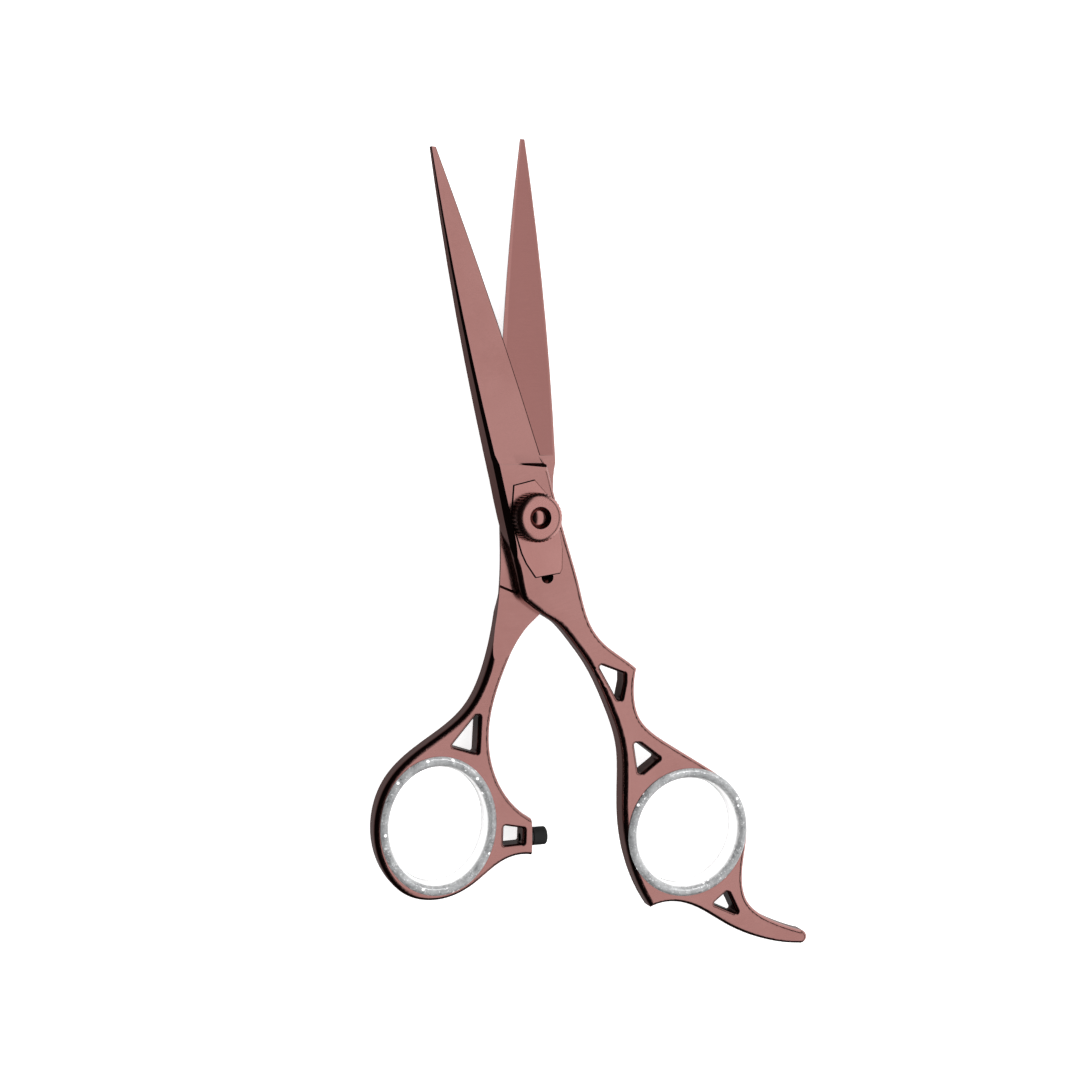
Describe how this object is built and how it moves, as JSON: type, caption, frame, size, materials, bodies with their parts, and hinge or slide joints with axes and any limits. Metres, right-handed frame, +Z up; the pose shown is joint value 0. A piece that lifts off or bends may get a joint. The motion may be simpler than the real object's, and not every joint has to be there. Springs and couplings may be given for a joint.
{
  "type": "hair cutting shears",
  "caption": "Hair cutting shears with offset ringed handles, soft ring inserts, a finger rest, a bumper and a knurled tension dial on the pivot, lying part open.",
  "frame": {"origin": "on the pivot axis, at the resting face of the pivot screw's head", "axes": "+Z up, out of the tension dial; +Y towards the blade tips; +X towards the finger handle's finger rest"},
  "size_m": [0.0889, 0.1576, 0.0113],
  "materials": {
    "blade_coating": "satin rose-gold coating over steel",
    "leaf_coating": "brushed rose-gold coating over steel",
    "dial_coating": "turned and knurled, rose-gold coating",
    "plain_steel": "ground steel",
    "spring_steel": "plain spring steel",
    "bush_brass": "turned",
    "washer_plastic": "low-friction plastic",
    "insert_silicone": "clear silicone filled with fine silver glitter",
    "ferrule_black": "black",
    "bumper_rubber": "matte black rubber"
  },
  "bodies": {
    "still_half": {"still_blade": "blade_coating", "pivot_screw": "plain_steel", "head_washer": "washer_plastic", "blade_washer": "washer_plastic", "tension_leaf": "leaf_coating", "disc_spring_lower": "spring_steel", "disc_spring_upper": "spring_steel", "detent_ball": "plain_steel", "detent_spring": "spring_steel", "finger_ring_insert": "insert_silicone"},
    "moving_half": {"moving_blade": "blade_coating", "pivot_bush": "bush_brass", "thumb_ring_insert": "insert_silicone", "bumper_ferrule": "ferrule_black", "bumper_cap": "bumper_rubber"},
    "dial": {"tension_dial": "dial_coating"}
  },
  "joints": [
    {"name": "blade_pivot", "type": "hinge", "parent": "still_half", "child": "moving_half", "pos_m": [0, 0, 0], "axis": [0, 0, -1], "range_deg": [-13.5, 76]},
    {"name": "dial_turn", "type": "hinge", "parent": "still_half", "child": "dial", "pos_m": [0, 0, 0], "axis": [0, 0, 1], "range_deg": [-90, 90]}
  ]
}
